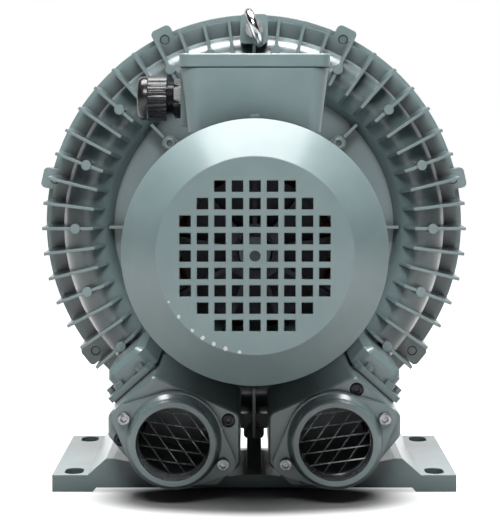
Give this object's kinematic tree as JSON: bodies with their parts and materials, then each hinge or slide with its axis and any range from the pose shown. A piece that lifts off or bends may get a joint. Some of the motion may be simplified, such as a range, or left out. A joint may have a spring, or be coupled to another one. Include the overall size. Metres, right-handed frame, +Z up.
{
  "type": "side channel blower",
  "caption": "Side channel blower with a radially finned ring casing, fan-cooled motor in front, a terminal box on top and two ported silencers on a cast foot.",
  "frame": {"origin": "on the floor, under the middle of the overall box, on the machine's centre plane", "axes": "+X to the right seen from the motor end, +Y along the shaft from the fan cowl to the ring casing, +Z up"},
  "size_m": [0.372, 0.394, 0.3874],
  "materials": {
    "body_paint": "satin grey-green enamel over cast and pressed metal",
    "zinc_steel": "bright zinc plate",
    "black_steel": "black oxide",
    "gland_plastic": "black moulded",
    "seal_rubber": "black rubber",
    "gasket_sheet": "pressed gasket sheet",
    "foam": "open-cell foam",
    "guard_steel": "plated expanded metal",
    "fan_plastic": "black moulded",
    "impeller_alloy": "as cast and turned",
    "core_steel": "varnished laminations",
    "copper": "enamelled copper wire",
    "brass_links": "plain brass",
    "board_plastic": "moulded board",
    "shaft_steel": "ground steel",
    "bearing_steel": "polished bearing steel"
  },
  "bodies": {
    "blower": {"blower_casing": "body_paint", "casing_cover": "body_paint", "cover_screws": "body_paint", "cowl_screws": "body_paint", "drive_bearing_outer": "bearing_steel", "end_shield": "body_paint", "end_shield_screws": "zinc_steel", "fan_bearing_outer": "bearing_steel", "fan_cowl": "body_paint", "foot_frame": "body_paint", "foot_screws": "zinc_steel", "gland_body": "gland_plastic", "gland_locknut": "gland_plastic", "gland_nut": "gland_plastic", "gland_seal": "seal_rubber", "guard_mesh_left": "guard_steel", "guard_mesh_right": "guard_steel", "lid_gasket": "seal_rubber", "lid_screws": "zinc_steel", "lifting_eye": "zinc_steel", "motor_housing": "body_paint", "motor_screws": "zinc_steel", "neck_gaskets": "gasket_sheet", "neck_screws": "zinc_steel", "port_flange_left": "body_paint", "port_flange_right": "body_paint", "port_gaskets": "gasket_sheet", "port_screws": "body_paint", "shaft_seal": "seal_rubber", "silencer_cover_left": "body_paint", "silencer_cover_right": "body_paint", "silencer_cover_screws": "black_steel", "silencer_foam_left": "foam", "silencer_foam_right": "foam", "silencer_housing_left": "body_paint", "silencer_housing_right": "body_paint", "silencer_tube_left": "guard_steel", "silencer_tube_right": "guard_steel", "stator_core": "core_steel", "stator_windings": "copper", "terminal_board": "board_plastic", "terminal_box_base": "body_paint", "terminal_box_lid": "body_paint", "terminal_links": "brass_links", "terminal_studs": "zinc_steel"},
    "rotor": {"rotor_shaft": "shaft_steel", "rotor_core": "core_steel", "rotor_end_rings": "impeller_alloy", "impeller": "impeller_alloy", "impeller_key": "shaft_steel", "impeller_nut": "zinc_steel", "cooling_fan": "fan_plastic", "fan_clip": "zinc_steel", "drive_bearing_inner": "bearing_steel", "fan_bearing_inner": "bearing_steel"},
    "drive_bearing_cage": {"drive_bearing_balls": "bearing_steel"},
    "fan_bearing_cage": {"fan_bearing_balls": "bearing_steel"}
  },
  "joints": [
    {"name": "rotor_spin", "type": "hinge", "parent": "blower", "child": "rotor", "pos_m": [0, 0, 0.204], "axis": [0, 1, 0], "continuous": true},
    {"name": "drive_balls_roll", "type": "hinge", "parent": "blower", "child": "drive_bearing_cage", "pos_m": [0, 0, 0.204], "axis": [0, 1, 0], "continuous": true},
    {"name": "fan_balls_roll", "type": "hinge", "parent": "blower", "child": "fan_bearing_cage", "pos_m": [0, 0, 0.204], "axis": [0, 1, 0], "continuous": true}
  ],
  "couplings": [
    {"joint": "drive_balls_roll", "follows": "rotor_spin", "ratio": 0.4022},
    {"joint": "fan_balls_roll", "follows": "rotor_spin", "ratio": 0.3961}
  ]
}
